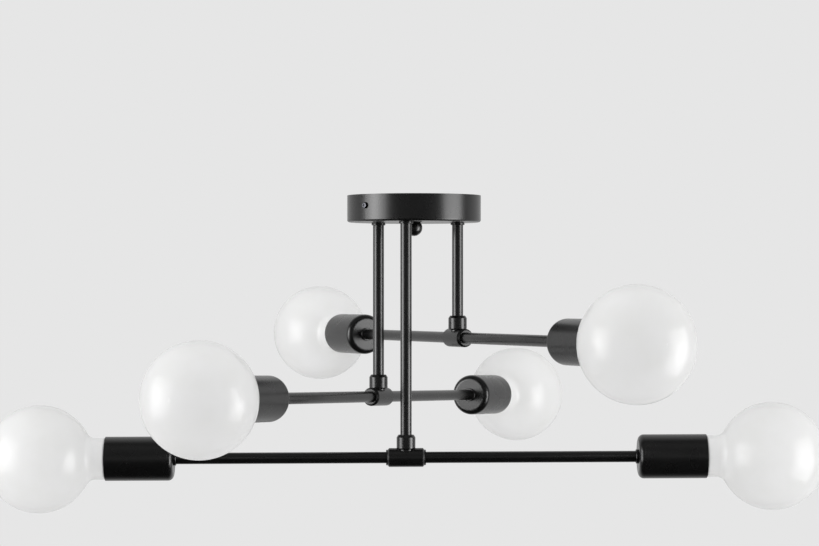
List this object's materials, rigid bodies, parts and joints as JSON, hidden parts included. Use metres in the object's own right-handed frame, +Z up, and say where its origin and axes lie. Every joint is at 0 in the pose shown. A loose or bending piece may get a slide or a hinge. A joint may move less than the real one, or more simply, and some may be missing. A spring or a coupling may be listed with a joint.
{
  "type": "semi-flush ceiling light",
  "caption": "Semi-flush ceiling light: a round canopy, hanging stems of stepped lengths, and long crossed arms that end in lamp cups holding opal globe bulbs.",
  "frame": {"origin": "centre of the canopy's top plane, on the ceiling", "axes": "+Z up into the ceiling, +X along the lowest arm, +Y away from the side that the lowest arm's stem is on"},
  "size_m": [0.7408, 0.6927, 0.2812],
  "materials": {
    "black_coat": "satin black powder coat on steel",
    "black_screw": "blackened steel",
    "zinc": "bright zinc plate",
    "brass_metal": "plain brass",
    "cap_metal": "nickel-plated rolled cap",
    "holder_plastic": "moulded phenolic",
    "block_plastic": "moulded polyamide",
    "cable_jacket": "PVC sheath",
    "earth_sheath": "green and yellow PVC",
    "opal_glass": "glossy opal glass"
  },
  "bodies": {
    "root": {"canopy": "black_coat", "mounting_strap": "zinc", "centre_stud": "zinc", "stud_nuts": "zinc", "ball_nut": "black_coat", "side_screws": "black_screw", "terminal_block": "block_plastic", "terminal_screws": "brass_metal", "block_screw": "zinc", "earth_screw": "brass_metal", "earth_lead": "earth_sheath", "canopy_cables": "cable_jacket"},
    "upper_arm": {"upper_stem": "black_coat", "upper_stem_nuts": "black_coat", "upper_tee": "black_coat", "upper_rod_left": "black_coat", "upper_rod_right": "black_coat", "upper_cup_left": "black_coat", "upper_cup_right": "black_coat", "upper_cup_nuts": "black_coat", "upper_holder_left": "holder_plastic", "upper_holder_right": "holder_plastic", "upper_screw_shells": "brass_metal", "upper_cables": "cable_jacket"},
    "upper_left_bulb": {"upper_left_globe": "opal_glass", "upper_left_cap": "cap_metal"},
    "upper_right_bulb": {"upper_right_globe": "opal_glass", "upper_right_cap": "cap_metal"},
    "middle_arm": {"middle_stem": "black_coat", "middle_stem_nuts": "black_coat", "middle_tee": "black_coat", "middle_rod_left": "black_coat", "middle_rod_right": "black_coat", "middle_cup_left": "black_coat", "middle_cup_right": "black_coat", "middle_cup_nuts": "black_coat", "middle_holder_left": "holder_plastic", "middle_holder_right": "holder_plastic", "middle_screw_shells": "brass_metal", "middle_cables": "cable_jacket"},
    "middle_left_bulb": {"middle_left_globe": "opal_glass", "middle_left_cap": "cap_metal"},
    "middle_right_bulb": {"middle_right_globe": "opal_glass", "middle_right_cap": "cap_metal"},
    "lower_arm": {"lower_stem": "black_coat", "lower_stem_nuts": "black_coat", "lower_tee": "black_coat", "lower_rod_left": "black_coat", "lower_rod_right": "black_coat", "lower_cup_left": "black_coat", "lower_cup_right": "black_coat", "lower_cup_nuts": "black_coat", "lower_holder_left": "holder_plastic", "lower_holder_right": "holder_plastic", "lower_screw_shells": "brass_metal", "lower_cables": "cable_jacket"},
    "lower_left_bulb": {"lower_left_globe": "opal_glass", "lower_left_cap": "cap_metal"},
    "lower_right_bulb": {"lower_right_globe": "opal_glass", "lower_right_cap": "cap_metal"}
  },
  "joints": [
    {"name": "upper_swivel", "type": "hinge", "parent": "root", "child": "upper_arm", "pos_m": [0.03947, 0.01436, -0.024], "axis": [0, 0, 1], "range_deg": [-10, 40]},
    {"name": "upper_left_unscrew", "type": "slide", "parent": "upper_arm", "child": "upper_left_bulb", "axis": [-0.4147, 0.91, -0.0028], "range_m": [0, 0.04]},
    {"name": "upper_right_unscrew", "type": "slide", "parent": "upper_arm", "child": "upper_right_bulb", "axis": [0.4147, -0.91, 0.0028], "range_m": [0, 0.04]},
    {"name": "middle_swivel", "type": "hinge", "parent": "root", "child": "middle_arm", "pos_m": [-0.03217, 0.027, -0.024], "axis": [0, 0, 1], "range_deg": [-20, 10]},
    {"name": "middle_left_unscrew", "type": "slide", "parent": "middle_arm", "child": "middle_left_bulb", "axis": [-0.4303, -0.9021, 0.0323], "range_m": [0, 0.04]},
    {"name": "middle_right_unscrew", "type": "slide", "parent": "middle_arm", "child": "middle_right_bulb", "axis": [0.4303, 0.9021, -0.0323], "range_m": [0, 0.04]},
    {"name": "lower_swivel", "type": "hinge", "parent": "root", "child": "lower_arm", "pos_m": [-0.00729, -0.04136, -0.024], "axis": [0, 0, 1], "range_deg": [-80, 15]},
    {"name": "lower_left_unscrew", "type": "slide", "parent": "lower_arm", "child": "lower_left_bulb", "axis": [-1, 0, -0.0044], "range_m": [0, 0.04]},
    {"name": "lower_right_unscrew", "type": "slide", "parent": "lower_arm", "child": "lower_right_bulb", "axis": [1, 0, 0.0044], "range_m": [0, 0.04]}
  ]
}
